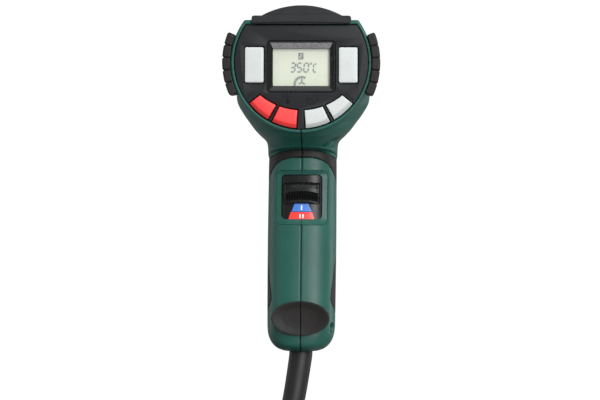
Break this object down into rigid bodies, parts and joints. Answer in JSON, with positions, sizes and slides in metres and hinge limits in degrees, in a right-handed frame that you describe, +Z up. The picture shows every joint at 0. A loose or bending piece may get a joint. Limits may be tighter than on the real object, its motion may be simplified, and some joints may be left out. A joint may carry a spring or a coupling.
{
  "type": "heat gun",
  "caption": "Pistol-shaped electric heat gun with a rear control panel and display, a stage slider in the handle, a steel outlet tube and a stored mains lead.",
  "frame": {"origin": "centre of the handle grip, where the hand holds the gun", "axes": "+Y along the barrel towards the outlet, +Z up from the handle to the barrel, +X to the right seen from behind"},
  "size_m": [0.1943, 0.2595, 0.2979],
  "materials": {
    "casing_green": "fine moulded texture",
    "black_plastic": "fine moulded texture",
    "black_gloss": "polished",
    "soft_rubber": "satin overmoulding",
    "panel_black": "satin",
    "key_pale": "satin",
    "key_red": "satin",
    "lens_clear": "clear",
    "display_pale": "liquid crystal",
    "board_green": "solder resist",
    "part_white": "moulded",
    "ceramic_white": "unglazed ceramic",
    "mica_brown": "layered mica",
    "heating_wire": "drawn wire",
    "outlet_steel": "heat tinted",
    "zinc_steel": "zinc plated",
    "motor_steel": "plated can",
    "heat_sink_aluminium": "extruded",
    "cord_rubber": "satin",
    "plug_black": "satin",
    "pin_brass": "nickel plated"
  },
  "bodies": {
    "gun_body": {"housing_left": "casing_green", "housing_right": "casing_green", "grip_left": "soft_rubber", "grip_right": "soft_rubber", "heel_pad_left": "soft_rubber", "heel_pad_right": "soft_rubber", "side_rest_left": "soft_rubber", "side_rest_right": "soft_rubber", "top_rest": "soft_rubber", "top_cover": "black_plastic", "control_panel": "panel_black", "display_frame": "black_gloss", "display_window": "lens_clear", "display_module": "display_pale", "key_mat": "soft_rubber", "display_board": "board_green", "slide_switch": "black_plastic", "power_board": "board_green", "heat_sink": "heat_sink_aluminium", "suppressor": "part_white", "cord_clamp": "black_plastic", "clamp_screw_1": "zinc_steel", "clamp_screw_2": "zinc_steel", "motor": "motor_steel", "fan_housing": "black_plastic", "inlet_screen_left": "zinc_steel", "inlet_screen_right": "zinc_steel", "heater_sleeve": "mica_brown", "heater_core": "ceramic_white", "heater_coil": "heating_wire", "heat_sensor": "zinc_steel", "nozzle_tube": "outlet_steel", "front_collar": "black_plastic", "cord_sleeve": "cord_rubber", "power_cord": "cord_rubber", "cord_coil": "cord_rubber", "cord_tail": "cord_rubber", "cord_tie": "black_plastic", "plug_body": "plug_black", "plug_pin_left": "pin_brass", "plug_pin_right": "pin_brass", "housing_screw_1": "zinc_steel", "housing_screw_2": "zinc_steel", "housing_screw_3": "zinc_steel", "housing_screw_4": "zinc_steel", "housing_screw_5": "zinc_steel", "housing_screw_6": "zinc_steel"},
    "stage_slider": {"stage_slider": "black_gloss"},
    "fan_rotor": {"motor_shaft": "zinc_steel", "fan_impeller": "black_plastic"},
    "heat_shield": {"heat_shield": "black_plastic"},
    "key_left": {"key_left": "key_pale"},
    "key_right": {"key_right": "key_pale"},
    "key_heat_down": {"key_heat_down": "key_red"},
    "key_heat_up": {"key_heat_up": "key_red"},
    "key_air_down": {"key_air_down": "key_pale"},
    "key_air_up": {"key_air_up": "key_pale"}
  },
  "joints": [
    {"name": "stage_slide", "type": "slide", "parent": "gun_body", "child": "stage_slider", "axis": [0, -0.2334, -0.9724], "range_m": [0, 0.0086]},
    {"name": "key_left_press", "type": "slide", "parent": "gun_body", "child": "key_left", "axis": [0, 1, 0], "range_m": [0, 0.0009], "stiffness_N_per_m": 400},
    {"name": "key_right_press", "type": "slide", "parent": "gun_body", "child": "key_right", "axis": [0, 1, 0], "range_m": [0, 0.0009], "stiffness_N_per_m": 400},
    {"name": "key_heat_down_press", "type": "slide", "parent": "gun_body", "child": "key_heat_down", "axis": [0, 1, 0], "range_m": [0, 0.0009], "stiffness_N_per_m": 400},
    {"name": "key_heat_up_press", "type": "slide", "parent": "gun_body", "child": "key_heat_up", "axis": [0, 1, 0], "range_m": [0, 0.0009], "stiffness_N_per_m": 400},
    {"name": "key_air_down_press", "type": "slide", "parent": "gun_body", "child": "key_air_down", "axis": [0, 1, 0], "range_m": [0, 0.0009], "stiffness_N_per_m": 400},
    {"name": "key_air_up_press", "type": "slide", "parent": "gun_body", "child": "key_air_up", "axis": [0, 1, 0], "range_m": [0, 0.0009], "stiffness_N_per_m": 400},
    {"name": "fan_spin", "type": "hinge", "parent": "gun_body", "child": "fan_rotor", "pos_m": [0, -0.0305, 0.1], "axis": [0, 1, 0], "continuous": true},
    {"name": "shield_pull", "type": "slide", "parent": "gun_body", "child": "heat_shield", "axis": [0, 1, 0], "range_m": [0, 0.118]}
  ]
}
